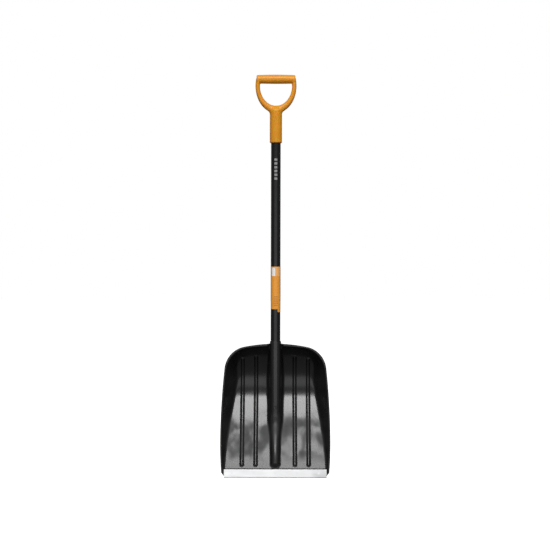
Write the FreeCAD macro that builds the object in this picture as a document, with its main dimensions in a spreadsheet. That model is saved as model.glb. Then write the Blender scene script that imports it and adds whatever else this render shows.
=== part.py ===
import FreeCAD, Part
import math
import os

import Sketcher

# A scoop snow shovel: a ribbed plastic blade with an aluminium edge strip, a tube shaft and a D-grip.
# It stands on its cutting edge with the shaft upright. +Z is up, and the open side of the scoop faces -Y.
# Millimetres and degrees. The origin is under the middle of the shovel, at the height of the edge.

Vector = FreeCAD.Vector
Rotation = FreeCAD.Rotation

DIMENSIONS = (
    ("overall_height", 1310),
    ("shaft_y", 17),
    ("shaft_radius", 15.9),
    ("shaft_wall", 1.5),
    ("shaft_foot", 205),
    ("shaft_head", 1184),
    ("fit_gap", 0.05),
    # The scoop: a floor plane that leans back, a bend, and a crown that leans forward.
    ("blade_wall", 3),
    ("foot_y", -74),
    ("foot_rise", 1.63),
    ("floor_lean", 27),
    ("bend_start", 248),
    ("bend_radius", 134),
    ("crown_lean", 40),
    # The side walls open by this much for each millimetre towards the front, and the rim leans back.
    ("wall_flare", 0.395),
    ("rim_slope", 0.1763),
    ("rim_half_width", 178.4),
    ("rim_widest_height", 113),
    ("rim_lower_radius", 1113),
    ("rim_upper_radius", 2250),
    ("corner_height", 340),
    ("rim_corner_radius", 80),
    ("rim_top", 428.5),
    ("lip_side", 5),
    ("lip_top", 9.5),
    ("lip_thickness", 3.2),
    ("mouth_corner_radius", 105),
    ("fold_radius", 9),
    ("horn_half_width", 165.7),
    ("horn_inner_height", 6),
    ("horn_outer_height", 17.4),
    # Ribs pressed into the floor.
    ("rib_inner_x", 63.5),
    ("rib_outer_x", 108),
    ("rib_half_width", 6.75),
    ("rib_height", 4.5),
    ("rib_foot", 34),
    ("rib_inner_top", 388),
    ("rib_outer_top", 381.5),
    # The socket for the shaft, the web behind it and the bead that runs down to the edge.
    ("socket_radius", 18.4),
    ("collar_top", 435.8),
    ("web_front", 6),
    ("web_half_width", 20.8),
    ("web_draft", 0.104),
    ("channel_foot", 226),
    ("channel_top", 378),
    ("bead_radius_low", 13.5),
    ("bead_radius_high", 15.5),
    ("bead_lift", 3),
    ("bead_foot", 42.3),
    ("bead_top", 235),
    ("bead_hollow_top", 208),
    # The edge strip is a folded sheet over a tongue on the blade.
    ("strip_half_length", 165.5),
    ("strip_height", 27.4),
    ("strip_sheet", 1.4),
    ("strip_gap", 3),
    ("strip_groove", 3.2),
    ("tongue_band", 46),
    ("rivet_pitch", 70),
    ("rivet_height", 15),
    ("rivet_shank", 2),
    ("rivet_head", 3.6),
    ("rivet_dome", 1.3),
    # Screws.
    ("screw_shank", 2.1),
    ("screw_head_radius", 5),
    ("screw_head_height", 2.6),
    ("screw_length", 12),
    ("screw_drive", 1.6),
    ("socket_screw_height", 220),
    ("grip_screw_height", 1166),
    ("seat_depth", 0.8),
    # The plugs in the tube's ends.
    ("plug_length", 34),
    ("plug_wall", 3),
    ("plug_flange", 2.5),
    # The D-grip.
    ("bar_length", 127),
    ("bar_radius", 14.95),
    ("bar_end_radius", 13.65),
    ("bar_rounding", 3),
    ("ring_outer_half_width", 67.2),
    ("ring_outer_drop", 87),
    ("ring_inner_half_width", 52.5),
    ("ring_inner_drop", 63.3),
    ("ring_height", 1273),
    ("ring_depth", 24),
    ("ring_rounding", 6.5),
    ("neck_radius", 20),
    ("neck_foot", 1085.7),
    ("neck_rounding", 2.5),
    ("neck_shoulder", 7),
    # The label round the shaft, with an overlapping end that hangs lower.
    ("label_foot", 541.4),
    ("label_top", 680.2),
    ("label_sheet", 0.2),
    ("label_flap_foot", 531.5),
    ("label_flap_turn", 105),
)
RIVETS = 5
# Which side of the shaft a screw comes from.
FRONT, BEHIND = -1, 1


class Size:
    """A length or angle with the sheet expression that gives it, so that both follow the same sum."""

    def __init__(self, value, text):
        self.value = value
        self.text = text

    def joined(self, other, sign, total):
        return Size(total, f"({self.text} {sign} {words(other)})")

    def __add__(self, other):
        return self.joined(other, "+", self.value + float(other))

    def __sub__(self, other):
        return self.joined(other, "-", self.value - float(other))

    def __mul__(self, other):
        return self.joined(other, "*", self.value * float(other))

    def __truediv__(self, other):
        return self.joined(other, "/", self.value / float(other))

    def __neg__(self):
        return Size(-self.value, f"(0 - {self.text})")

    def __float__(self):
        return float(self.value)


def words(value):
    """The expression text of a Size or of a plain number."""
    return value.text if isinstance(value, Size) else repr(float(value))


def fill_sheet(doc):
    sheet = doc.addObject("Spreadsheet::Sheet", "sizes")
    for row, (name, value) in enumerate(DIMENSIONS, start=1):
        sheet.set(f"A{row}", name)
        sheet.set(f"B{row}", str(value))
        sheet.setAlias(f"B{row}", name)
    doc.recompute()
    return sheet


doc = FreeCAD.newDocument("snow_shovel")
sheet = fill_sheet(doc)
pieces = []


def size(name):
    return Size(float(sheet.get(name)), f"sizes.{name}")


def number(name):
    return float(sheet.get(name))


def bind(item, **sizes):
    """Binds the properties of an object to the sheet."""
    for name, value in sizes.items():
        item.setExpression(name, words(value))


def place(item, x=0, y=0, z=0, turn=None):
    """Puts an object somewhere, with each coordinate bound to the sheet."""
    item.Placement = FreeCAD.Placement(Vector(0, 0, 0), turn or Rotation())
    for letter, value in zip("xyz", (x, y, z)):
        item.setExpression(f"Placement.Base.{letter}", words(value))


def piece(item, name):
    """Marks an object as one of the finished pieces."""
    item.Label = name
    pieces.append(item)
    return item


def cylinder(name, radius, height, x=0, y=0, z=0, turn=None):
    item = doc.addObject("Part::Cylinder", name)
    bind(item, Radius=radius, Height=height)
    place(item, x, y, z, turn)
    return item


def box(name, length, width, height, x=0, y=0, z=0, turn=None):
    item = doc.addObject("Part::Box", name)
    bind(item, Length=length, Width=width, Height=height)
    place(item, x, y, z, turn)
    return item


def cut(name, base, tool):
    item = doc.addObject("Part::Cut", name)
    item.Base = base
    item.Tool = tool
    return item


def common(name, base, tool):
    item = doc.addObject("Part::Common", name)
    item.Base = base
    item.Tool = tool
    return item


def fuse(name, *parts):
    item = doc.addObject("Part::MultiFuse", name)
    item.Shapes = list(parts)
    item.Refine = True
    return item


# ---- the scoop's surface, as a depth behind its foot ----


def bend_centre():
    lean = math.radians(number("floor_lean"))
    start = number("bend_start")
    depth = (start - number("foot_rise")) * math.tan(lean)
    radius = number("bend_radius")
    return depth - radius * math.cos(lean), start + radius * math.sin(lean)


def floor_depth(z, back):
    """The floor's depth at a height, for the surface that lies back behind the front one."""
    centre_y, centre_z = bend_centre()
    radius = number("bend_radius") + back
    lean = math.radians(number("floor_lean"))
    crown = math.radians(number("crown_lean"))
    rise = z - centre_z
    if rise < -radius * math.sin(lean):
        return centre_y + (radius + rise * math.sin(lean)) / math.cos(lean)
    if rise < radius * math.sin(crown):
        return centre_y + math.sqrt(radius**2 - rise**2)
    return centre_y + (radius - rise * math.sin(crown)) / math.cos(crown)


def rim_depth(z):
    return number("rim_slope") * z


def arc_point(centre, radius, angle):
    """A point of the front view on a circle, the angle counted up from the right."""
    return Vector(centre.x + radius * math.cos(angle), 0, centre.z + radius * math.sin(angle))


def outline_arcs(half_width, opening, corner_radius, apex):
    """The right half of an outline as tangent arcs, each (centre, radius, first and last angle).
    Opening is the slope of the side at the rim's widest height."""
    joint = -math.atan(opening)
    widest = Vector(half_width, 0, number("rim_widest_height"))
    low_radius, side_radius = number("rim_lower_radius"), number("rim_upper_radius")
    low_centre, side_centre = (widest - arc_point(Vector(), r, joint) for r in (low_radius, side_radius))
    corner_rise = number("corner_height") - side_centre.z
    leave = math.asin(corner_rise / (side_radius - corner_radius))
    corner = arc_point(side_centre, side_radius - corner_radius, leave)
    drop = corner.z - apex
    top_radius = (corner_radius**2 - corner.x**2 - drop**2) / (2 * (drop + corner_radius))
    top_centre = Vector(0, 0, apex - top_radius)
    meet = math.atan2(corner.z - top_centre.z, corner.x)
    return [
        (low_centre, low_radius, -0.24, joint),
        (side_centre, side_radius, joint, leave),
        (corner, corner_radius, leave, meet),
        (top_centre, top_radius, meet, math.pi / 2),
    ]


def rim_arcs():
    """The lip's outer outline in the front view."""
    return outline_arcs(number("rim_half_width"), 0, number("rim_corner_radius"), number("rim_top"))


def mouth_arcs():
    """The outline that the inner faces of the walls would have in the foot's plane, carried forward to it."""
    flare = number("wall_flare")
    opening = flare * number("rim_slope")
    half_width = number("rim_half_width") - number("lip_side") + opening * number("rim_widest_height")
    mouth_top = number("rim_top") - number("lip_top")
    return outline_arcs(half_width, opening, number("mouth_corner_radius"), mouth_top * (1 + opening))


def mouth_outline(inset, depth):
    """The mouth's outline at a depth behind the foot, drawn in by inset."""
    shift = Vector(0, number("foot_y") + depth, 0)
    right = []
    for centre, radius, first, last in mouth_arcs()[:3]:
        angles = (first, (first + last) / 2, last)
        right.append([arc_point(centre, radius - inset, a) + shift for a in angles])
    left = [mirrored(reversed(stretch)) for stretch in reversed(right)]
    centre, radius, *_ = mouth_arcs()[3]
    apex = arc_point(centre, radius - inset, math.pi / 2) + shift
    stretches = right + [[right[-1][-1], apex, left[0][0]]] + left
    edges = [arc_through(*stretch) for stretch in stretches]
    edges.append(Part.makeLine(left[-1][-1], right[0][0]))
    return Part.Wire(edges)


def arc_through(first, middle, last):
    return Part.Arc(first, middle, last).toShape()


def mirrored(points):
    return [Vector(-p.x, p.y, p.z) for p in points]


def floor_prism(back):
    """Everything in front of the floor, the bend and the crown, or of faces that lie back behind them."""
    centre_y, centre_z = bend_centre()
    radius = number("bend_radius") + back
    low, high = -60, 480
    angles = [-math.radians(number("floor_lean")), 0, math.radians(number("crown_lean"))]
    bend = [Vector(0, centre_y + radius * math.cos(a), centre_z + radius * math.sin(a)) for a in angles]
    foot = Vector(0, floor_depth(low, back), low)
    crown = Vector(0, floor_depth(high, back), high)
    front = [crown, Vector(0, -160, high), Vector(0, -160, low), foot]
    edges = [Part.makeLine(foot, bend[0]), arc_through(*bend), Part.makeLine(bend[-1], crown)]
    face = Part.Face(Part.Wire(edges + Part.makePolygon(front).Edges))
    face.translate(Vector(-260, number("foot_y"), 0))
    return face.extrude(Vector(520, 0, 0))


def scoop_volume(back):
    """The space in front of the scoop's inside, or in front of the face that lies back behind it."""
    flare = number("wall_flare")
    grow = back * math.hypot(1, flare)
    near, far = -80, 175
    outlines = [mouth_outline(flare * depth - grow, depth) for depth in (near, far)]
    mouth = Part.makeLoft(outlines, True, True)
    volume = mouth.common(floor_prism(back)).Solids[0]
    return volume.makeFillet(number("fold_radius") + back, fold_edges(volume, back))


def fold_edges(volume, back):
    """The edges where the floor, bend and crown meet the walls, without the lines across the floor."""
    found = []
    for edge in volume.Edges:
        first, middle, last = (edge.valueAt(p) for p in edge_thirds(edge))
        straight_across = first.z == last.z and abs(middle.z - first.z) < 0.001
        behind_front = middle.y - number("foot_y") - floor_depth(middle.z, back)
        if abs(behind_front) < 0.01 and not straight_across:
            found.append(edge)
    return found


def edge_thirds(edge):
    return edge.FirstParameter, (edge.FirstParameter + edge.LastParameter) / 2, edge.LastParameter


# ---- the blade ----


def floor_frame():
    """The floor's own frame: x across, y behind its front face, z up its slope from the foot."""
    foot = Vector(0, number("foot_y"), number("foot_rise"))
    return FreeCAD.Placement(foot, Rotation(Vector(-1, 0, 0), number("floor_lean")))


def on_floor(shape):
    """Moves a shape drawn in the floor's frame to its place in the shovel."""
    shape.Placement = floor_frame().multiply(shape.Placement)
    return shape


def centred_box(half_width, depth_low, depth_high, low, high):
    corner = Vector(-half_width, depth_low, low)
    return Part.makeBox(2 * half_width, depth_high - depth_low, high - low, corner)


def rim_slab(front, back):
    """Everything between two planes parallel to the rim, front and back being depths behind it."""
    low, high = -60, 520
    foot = number("foot_y")
    outline = [
        Vector(-300, foot + rim_depth(low) + front, low),
        Vector(-300, foot + rim_depth(high) + front, high),
        Vector(-300, foot + rim_depth(high) + back, high),
        Vector(-300, foot + rim_depth(low) + back, low),
    ]
    face = Part.Face(Part.makePolygon(outline + outline[:1]))
    return face.extrude(Vector(600, 0, 0))


def rim_height_point(z):
    """The point of the lip's outline at a height below its widest one."""
    centre, radius, *_ = rim_arcs()[0]
    return arc_point(centre, radius, math.asin((z - centre.z) / radius))


def rim_outline():
    """The lip's outer outline in the front view, with the horns that reach down beside the edge strip."""
    arcs = rim_arcs()
    horn = rim_height_point(number("horn_outer_height"))
    inner = Vector(number("horn_half_width"), 0, number("horn_inner_height"))
    right = [[horn, rim_height_point((horn.z + arcs[0][0].z) / 2), arc_point(*arcs[0][:2], arcs[0][3])]]
    for centre, radius, first, last in arcs[1:3]:
        right.append([arc_point(centre, radius, a) for a in (first, (first + last) / 2, last)])
    left = [mirrored(reversed(stretch)) for stretch in reversed(right)]
    apex = Vector(0, 0, number("rim_top"))
    edges = [arc_through(*stretch) for stretch in right + [[right[-1][-1], apex, left[0][0]]] + left]
    foot = [left[-1][-1], mirrored([inner])[0], inner, horn]
    return Part.Wire(edges + Part.makePolygon(foot).Edges)


def scoop_shell(hollow, filled):
    """The wall between the two volumes behind the rim, with the lip along the rim."""
    wall = filled.cut(hollow).common(rim_slab(0, 400))
    outline = Part.Face(rim_outline())
    outline.translate(Vector(0, -150, 0))
    lip = outline.extrude(Vector(0, 300, 0)).common(rim_slab(0, number("lip_thickness"))).cut(hollow)
    return wall.fuse(lip)


def rib_path(x, back, top):
    """Up the floor and round the bend, back behind the floor's front face."""
    centre_y, centre_z = bend_centre()
    centre = Vector(x, centre_y + number("foot_y"), centre_z)
    radius = number("bend_radius") + back
    lean = -math.radians(number("floor_lean"))
    end = math.asin((top - centre_z) / radius)
    around = [centre + Vector(0, math.cos(a), math.sin(a)) * radius for a in (lean, (lean + end) / 2, end)]
    foot_height = number("rib_foot") + number("rib_half_width")
    foot = Vector(x, floor_depth(foot_height, back) + number("foot_y"), foot_height)
    return Part.Wire([Part.makeLine(foot, around[0]), arc_through(*around)])


def rounded_bar(path, radius):
    """A round bar along a path, with a ball at each end."""
    start = path.Edges[0].valueAt(path.Edges[0].FirstParameter)
    along = path.Edges[0].tangentAt(path.Edges[0].FirstParameter)
    end = path.Edges[-1].valueAt(path.Edges[-1].LastParameter)
    ring = Part.Wire(Part.makeCircle(radius, start, along))
    bar = path.makePipeShell([ring], True, False)
    return bar.fuse([Part.makeSphere(radius, start), Part.makeSphere(radius, end)])


def ribs(groove):
    """The four ribs, or with groove the four slots behind them that keep the wall even."""
    half, rise = number("rib_half_width"), number("rib_height")
    radius = (half**2 + rise**2) / (2 * rise)
    made = []
    for name in ("inner", "outer"):
        top = number(f"rib_{name}_top") - half
        for side in (-1, 1):
            path = rib_path(side * number(f"rib_{name}_x"), radius - rise, top)
            made.append(rounded_bar(path, radius - (number("blade_wall") if groove else 0)))
    return made


def bead_section(height, radius, lift, back):
    """A round-topped outline across the floor at a height up its slope."""
    crown = arc_through(
        Vector(-radius, -lift, height), Vector(0, -lift - radius, height), Vector(radius, -lift, height)
    )
    corners = [Vector(radius, -lift, height), Vector(radius, back, height)]
    corners += [Vector(-radius, back, height), Vector(-radius, -lift, height)]
    return Part.Wire([crown] + Part.makePolygon(corners).Edges)


def bead(inset, back, top):
    """The bead from the socket's foot down to its round nose, or its hollow where inset is the wall."""
    lift = number("bead_lift")
    low, high = number("bead_radius_low") - inset, number("bead_radius_high") - inset
    foot = number("bead_foot")
    body = Part.makeLoft([bead_section(foot, low, lift, back), bead_section(top, high, lift, back)], True)
    centre = Vector(0, -lift, foot)
    nose = Part.makeSphere(low, centre).fuse(Part.makeCylinder(low, lift + back, centre, Vector(0, 1, 0)))
    return on_floor(body.fuse(nose))


def web_prism(inset, low, high):
    """The block that joins the socket to the floor behind it, opening slightly towards the back."""
    front = number("shaft_y") + number("web_front") + inset
    back = 110
    narrow = number("web_half_width") + inset * (number("web_draft") - 1)
    wide = narrow + (back - front) * number("web_draft")
    corners = [Vector(-narrow, front, low), Vector(narrow, front, low)]
    corners += [Vector(wide, back, low), Vector(-wide, back, low)]
    face = Part.Face(Part.makePolygon(corners + corners[:1]))
    return face.extrude(Vector(0, 0, high - low))


def strip_space():
    """The room that the edge strip takes from the blade's foot, leaving a tongue."""
    half = number("horn_half_width")
    sheet_gap = number("strip_sheet") + number("fit_gap")
    far = number("strip_sheet") + number("strip_gap") - number("fit_gap")
    top = number("strip_height")
    far_below = -90
    front = centred_box(half, -40, sheet_gap, far_below, top + number("strip_groove"))
    groove = centred_box(half, 0, sheet_gap + 0.8, top + 0.3, top + number("strip_groove"))
    behind = centred_box(half, far, 60, far_below, top - 3)
    fold_centre = number("strip_sheet") + number("strip_gap") / 2
    below = centred_box(half, -60, 60, far_below, fold_centre + 0.1)
    return on_floor(front.fuse([groove, behind, below]))


def horn_trim():
    """What is cut away under each horn, as two prisms along the view."""
    low, high = number("horn_inner_height"), number("horn_outer_height")
    inner, outer = number("horn_half_width"), rim_height_point(high).x
    slope = (high - low) / (outer - inner)
    trims = []
    for side in (-1, 1):
        corners = [(inner, -90), (inner, low), (240, low + slope * (240 - inner)), (240, -90)]
        points = [Vector(side * x, -200, z) for x, z in corners]
        face = Part.Face(Part.makePolygon(points + points[:1]))
        trims.append(face.extrude(Vector(0, 400, 0)))
    return trims


def blade_body():
    """The moulding before the shaft's bore and the fixings' holes."""
    hollow, filled = scoop_volume(0), scoop_volume(number("blade_wall"))
    shell = scoop_shell(hollow, filled)
    band_depth = number("strip_sheet") + number("strip_gap")
    band = on_floor(centred_box(number("horn_half_width"), 0.5, band_depth, 0, number("tongue_band")))
    axis = Vector(0, number("shaft_y"), 0)
    foot = number("shaft_foot") - number("plug_flange") - number("blade_wall")
    radius, top = number("socket_radius"), number("collar_top")
    socket = Part.makeCylinder(radius, top - foot, axis + Vector(0, 0, foot))
    web = web_prism(0, 150, 440)
    raised = socket.fuse([web, bead(0, number("blade_wall"), number("bead_top"))] + ribs(False))
    raised = raised.common(filled)
    collar_foot = number("channel_top")
    collar = Part.makeCylinder(radius, top - collar_foot, axis + Vector(0, 0, collar_foot))
    body = shell.fuse([band, raised, collar])
    channel = web_prism(number("blade_wall"), number("channel_foot"), number("channel_top")).cut(socket)
    hollow_bead = bead(number("blade_wall"), 40, number("bead_hollow_top"))
    body = body.cut([channel, hollow_bead, strip_space()] + horn_trim())
    return body.cut(ribs(True))


def drilled_blade():
    """The moulding with the shaft's bore, the screw's hole and seat, and the rivets' holes."""
    body = doc.addObject("Part::Feature", "moulding")
    body.Shape = blade_body()
    gap = size("fit_gap")
    bore_foot = size("shaft_foot") - size("plug_flange")
    bore_radius, height = size("shaft_radius") + gap, size("overall_height")
    bore = cylinder("blade_bore", bore_radius, height, 0, size("shaft_y"), bore_foot)
    drills = [bore] + screw_drills("blade", size("socket_screw_height"), size("socket_radius"), FRONT)
    drills.append(tilt(rivet_drills("blade", size("rivet_shank") + gap)))
    return cut("blade_drilled", body, fuse("blade_drills", *drills))


# ---- screws and rivets ----


def screw_drills(name, height, surface_radius, side):
    """The hole and the flat seat for a screw through a socket, coming from the front or from behind."""
    axis = size("shaft_y")
    gap = size("fit_gap")
    turn = Rotation(Vector(1, 0, 0), -90)
    reach = size("shaft_radius") * 2
    seat_radius = size("screw_head_radius") + 0.4
    depth = surface_radius - size("seat_depth")
    if side == FRONT:
        hole_start, seat_start = axis - reach, axis - depth - reach
    else:
        hole_start, seat_start = axis, axis + depth
    hole = cylinder(f"{name}_screw_hole", size("screw_shank") + gap, reach, 0, hole_start, height, turn)
    seat = cylinder(f"{name}_screw_seat", seat_radius, reach, 0, seat_start, height, turn)
    return [hole, seat]


def rivet_places():
    """Where the rivets sit across the blade, counted in pitches from the middle."""
    return [index - (RIVETS - 1) / 2 for index in range(RIVETS)]


def rivet_drills(name, radius, sink=None):
    """The holes for the rivets in the floor's frame, each with a countersink if sink gives its depth."""
    made = []
    flat = Rotation(Vector(1, 0, 0), -90)
    for index, place_along in enumerate(rivet_places(), start=1):
        x = size("rivet_pitch") * place_along
        hole = cylinder(f"{name}_rivet_hole_{index}", radius, 40, x, -20, size("rivet_height"), flat)
        made.append(hole)
        if sink:
            cone = doc.addObject("Part::Cone", f"{name}_rivet_sink_{index}")
            bind(cone, Radius1=size("rivet_head") + 0.02, Radius2=radius, Height=sink)
            place(cone, x, 0, size("rivet_height"), flat)
            made.append(cone)
    return fuse(f"{name}_rivet_holes", *made)


def tilt(item):
    """Puts an object drawn in the floor's frame in its place in the shovel."""
    item.Placement = floor_frame()
    bind(item, **{"Placement.Base.y": size("foot_y"), "Placement.Base.z": size("foot_rise")})
    bind(item, **{"Placement.Rotation.Angle": size("floor_lean")})
    return item


def turned_body(name, corners):
    """A body of revolution about its own z axis. Each corner is (radius, height)."""
    body = doc.addObject("PartDesign::Body", name)
    sketch = body.newObject("Sketcher::SketchObject", f"{name}_profile")
    planes = {feature.Role: feature for feature in body.Origin.OriginFeatures}
    sketch.AttachmentSupport = (planes["XZ_Plane"], [""])
    sketch.MapMode = "FlatFace"
    draw_outline(sketch, corners)
    turned = body.newObject("PartDesign::Revolution", f"{name}_turned")
    turned.Profile = sketch
    turned.ReferenceAxis = (sketch, ["V_Axis"])
    turned.Angle = 360
    doc.recompute()
    return body


def draw_outline(sketch, corners):
    """Straight lines through the corners, each corner held by its two distances from the origin."""
    points = [Vector(float(x), float(y), 0) for x, y in corners]
    count = len(points)
    for index in range(count):
        sketch.addGeometry(Part.LineSegment(points[index], points[(index + 1) % count]), False)
    for index in range(count):
        sketch.addConstraint(Sketcher.Constraint("Coincident", index, 2, (index + 1) % count, 1))
    for index, corner in enumerate(corners):
        for kind, axis, value in zip(("DistanceX", "DistanceY"), (-2, -1), corner):
            if float(value) == 0:
                sketch.addConstraint(Sketcher.Constraint("PointOnObject", index, 1, axis))
                continue
            held = sketch.addConstraint(Sketcher.Constraint(kind, -1, 1, index, 1, float(value)))
            sketch.renameConstraint(held, f"{kind}_{index}")
            sketch.setExpression(f"Constraints.{kind}_{index}", words(value))


def screw(name, height, surface_radius, side):
    """A pan-head screw that points along the body's -z, turned to lie along the shovel's y."""
    shank = size("screw_shank")
    head, rise = size("screw_head_radius"), size("screw_head_height")
    tip = size("screw_length")
    lie = Size(50, "50")
    corners = [
        (Size(0, "0"), lie - tip),
        (shank * 0.35, lie - tip),
        (shank, lie - tip + 2),
        (shank, lie),
        (head, lie),
        (head, lie + rise * 0.35),
        (head * 0.86, lie + rise * 0.75),
        (head * 0.55, lie + rise),
        (Size(0, "0"), lie + rise),
    ]
    body = turned_body(name, corners)
    drive = body.newObject("Sketcher::SketchObject", f"{name}_drive")
    planes = {feature.Role: feature for feature in body.Origin.OriginFeatures}
    drive.AttachmentSupport = (planes["XY_Plane"], [""])
    drive.MapMode = "FlatFace"
    drive.AttachmentOffset = FreeCAD.Placement(Vector(0, 0, float(lie + rise)), Rotation())
    drive.setExpression("AttachmentOffset.Base.z", words(lie + rise))
    across = size("screw_drive")
    drive.addGeometry(Part.Circle(Vector(), Vector(0, 0, 1), float(across)), False)
    drive.addConstraint(Sketcher.Constraint("Coincident", 0, 3, -1, 1))
    held = drive.addConstraint(Sketcher.Constraint("Radius", 0, float(across)))
    drive.renameConstraint(held, "across")
    drive.setExpression("Constraints.across", words(across))
    pocket = body.newObject("PartDesign::Pocket", f"{name}_recess")
    pocket.Profile = drive
    pocket.setExpression("Length", words(across))
    surface = surface_radius - size("seat_depth")
    if side == FRONT:
        place(body, 0, size("shaft_y") - surface + lie, height, Rotation(Vector(1, 0, 0), 90))
    else:
        place(body, 0, size("shaft_y") + surface - lie, height, Rotation(Vector(1, 0, 0), -90))
    return piece(body, name)


def rivet(index, place_along):
    """A rivet through the strip and the tongue: flush in front, with a low dome behind."""
    zero = Size(0, "0")
    shank, head = size("rivet_shank"), size("rivet_head")
    sheet_depth = size("strip_sheet")
    through = size("strip_sheet") * 2 + size("strip_gap")
    dome = size("rivet_dome")
    corners = [
        (zero, zero),
        (head, zero),
        (shank, sheet_depth),
        (shank, through),
        (head, through),
        (head * 0.88, through + dome * 0.5),
        (head * 0.55, through + dome * 0.9),
        (zero, through + dome),
    ]
    name = f"edge_rivet_{index}"
    body = turned_body(name, corners)
    along = Vector(float(size("rivet_pitch") * place_along), 0, number("rivet_height"))
    local = FreeCAD.Placement(along, Rotation(Vector(1, 0, 0), -90))
    body.Placement = floor_frame().multiply(local)
    return piece(body, name)


# ---- the edge strip ----


def edge_strip():
    """A sheet folded round the tongue, drawn in the floor's frame with its fold at the foot."""
    sheet_thickness, gap = size("strip_sheet"), size("strip_gap")
    thickness = sheet_thickness * 2 + gap
    length = size("strip_half_length") * 2
    left = -size("strip_half_length")
    outer_bend, inner_bend = thickness / 2, gap / 2
    lying = Rotation(Vector(0, 1, 0), 90)
    legs = box("strip_legs", length, thickness, size("strip_height") - outer_bend, left, 0, outer_bend)
    fold = cylinder("strip_fold", outer_bend, length, left, outer_bend, outer_bend, lying)
    room = box("strip_room", length, gap, size("strip_height"), left, sheet_thickness, outer_bend)
    fold_room = cylinder("strip_fold_room", inner_bend, length, left, outer_bend, outer_bend, lying)
    back_top = size("strip_height") - 4
    back_trim = box("strip_back_trim", length, thickness, 20, left, sheet_thickness + gap, back_top)
    holes = rivet_drills("strip", size("rivet_shank") + size("fit_gap"), sheet_thickness)
    folded = fuse("strip_folded", legs, fold)
    strip = cut("strip", folded, fuse("strip_rooms", room, fold_room, back_trim, holes))
    return piece(tilt(strip), "edge_strip")


# ---- the shaft, its plugs and its label ----


def shaft_tube():
    height = size("shaft_head") - size("shaft_foot")
    axis, foot = size("shaft_y"), size("shaft_foot")
    outer = cylinder("tube_outer", size("shaft_radius"), height, 0, axis, foot)
    bore = cylinder("tube_bore", size("shaft_radius") - size("shaft_wall"), height, 0, axis, foot)
    turn = Rotation(Vector(1, 0, 0), -90)
    hole = size("screw_shank") + size("fit_gap")
    low = cylinder("tube_hole_low", hole, 40, 0, axis - 40, size("socket_screw_height"), turn)
    high = cylinder("tube_hole_high", hole, 40, 0, axis, size("grip_screw_height"), turn)
    return piece(cut("tube", outer, fuse("tube_cuts", bore, low, high)), "shaft_tube")


def shaft_plug(name, end, direction, screw_height, screw_side):
    """A cup pushed into an end of the tube, flanged over that end. The screw bites in its wall."""
    gap = size("fit_gap")
    radius = size("shaft_radius") - size("shaft_wall") - gap
    zero = Size(0, "0")
    length, wall, flange = size("plug_length"), size("plug_wall"), size("plug_flange")
    corners = [
        (zero, -flange),
        (size("shaft_radius"), -flange),
        (size("shaft_radius"), zero),
        (radius, zero),
        (radius, length),
        (radius - wall, length),
        (radius - wall, wall),
        (zero, wall),
    ]
    body = turned_body(f"{name}_body", corners)
    turn = Rotation() if direction > 0 else Rotation(Vector(1, 0, 0), 180)
    place(body, 0, size("shaft_y"), end, turn)
    across = Rotation(Vector(1, 0, 0), -90)
    start = size("shaft_y") - 40 if screw_side == FRONT else size("shaft_y")
    hole = cylinder(f"{name}_hole", size("screw_shank") + gap, 40, 0, start, screw_height, across)
    return piece(cut(f"{name}_cut", body, hole), name)


def shaft_label():
    """A wrap all round the shaft, with its overlapping end cut to hang lower."""
    axis, sheet_thickness, gap = size("shaft_y"), size("label_sheet"), 0.02
    foot, top = size("label_foot"), size("label_top")
    flap_foot = size("label_flap_foot")
    inner = size("shaft_radius") + gap
    middle = inner + sheet_thickness
    wrap = cylinder("label_wrap", middle, top - foot, 0, axis, foot)
    bore = cylinder("label_bore", inner, size("overall_height"), 0, axis, 0)
    start = Rotation(Vector(0, 0, 1), -66)
    flap = cylinder("label_flap", middle + sheet_thickness, top - flap_foot, 0, axis, flap_foot, start)
    bind(flap, Angle=size("label_flap_turn"))
    flap_bore = cylinder("label_flap_bore", middle, size("overall_height"), 0, axis, 0)
    sheet_round = cut("label_round", wrap, bore)
    return piece(fuse("label", sheet_round, cut("label_end", flap, flap_bore)), "shaft_label")


# ---- the D-grip ----


def rounded(name, base, radius, chosen):
    """Rounds the chosen edges of an object, given by a test on each edge."""
    doc.recompute()
    item = doc.addObject("Part::Fillet", name)
    item.Base = base
    picked = [index for index, edge in enumerate(base.Shape.Edges, start=1) if chosen(edge)]
    item.Edges = [(index, float(radius), float(radius)) for index in picked]
    return item


def elliptic_block(name, drop, half_width, depth):
    """An upright elliptic cylinder through the grip from front to back."""
    cyclic = Rotation(Vector(1, 1, 1), -120)
    outline = doc.addObject("Part::Ellipse", f"{name}_outline")
    bind(outline, MajorRadius=drop, MinorRadius=half_width)
    place(outline, 0, size("shaft_y") - depth / 2, size("ring_height"), cyclic)
    block = doc.addObject("Part::Extrusion", name)
    block.Base = outline
    block.DirMode = "Custom"
    block.Dir = Vector(0, 1, 0)
    block.Solid = True
    bind(block, LengthFwd=depth)
    return block


def grip_ring():
    depth = size("ring_depth")
    bar_height = size("overall_height") - size("bar_radius")
    outer = elliptic_block("ring_outer", size("ring_outer_drop"), size("ring_outer_half_width"), depth)
    inner = elliptic_block("ring_inner", size("ring_inner_drop"), size("ring_inner_half_width"), depth)
    below = box("ring_below", 200, 80, 200, -100, size("shaft_y") - 40, bar_height - 200)
    ring = common("ring_cut", cut("ring_whole", outer, inner), below)
    middle, half = number("shaft_y"), number("ring_depth") / 2

    def face_edge(edge):
        points = [edge.valueAt(p) for p in edge_thirds(edge)]
        flat = all(abs(abs(p.y - middle) - half) < 0.01 for p in points)
        return flat and edge.Length > 60

    return rounded("ring", ring, number("ring_rounding"), face_edge)


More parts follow.
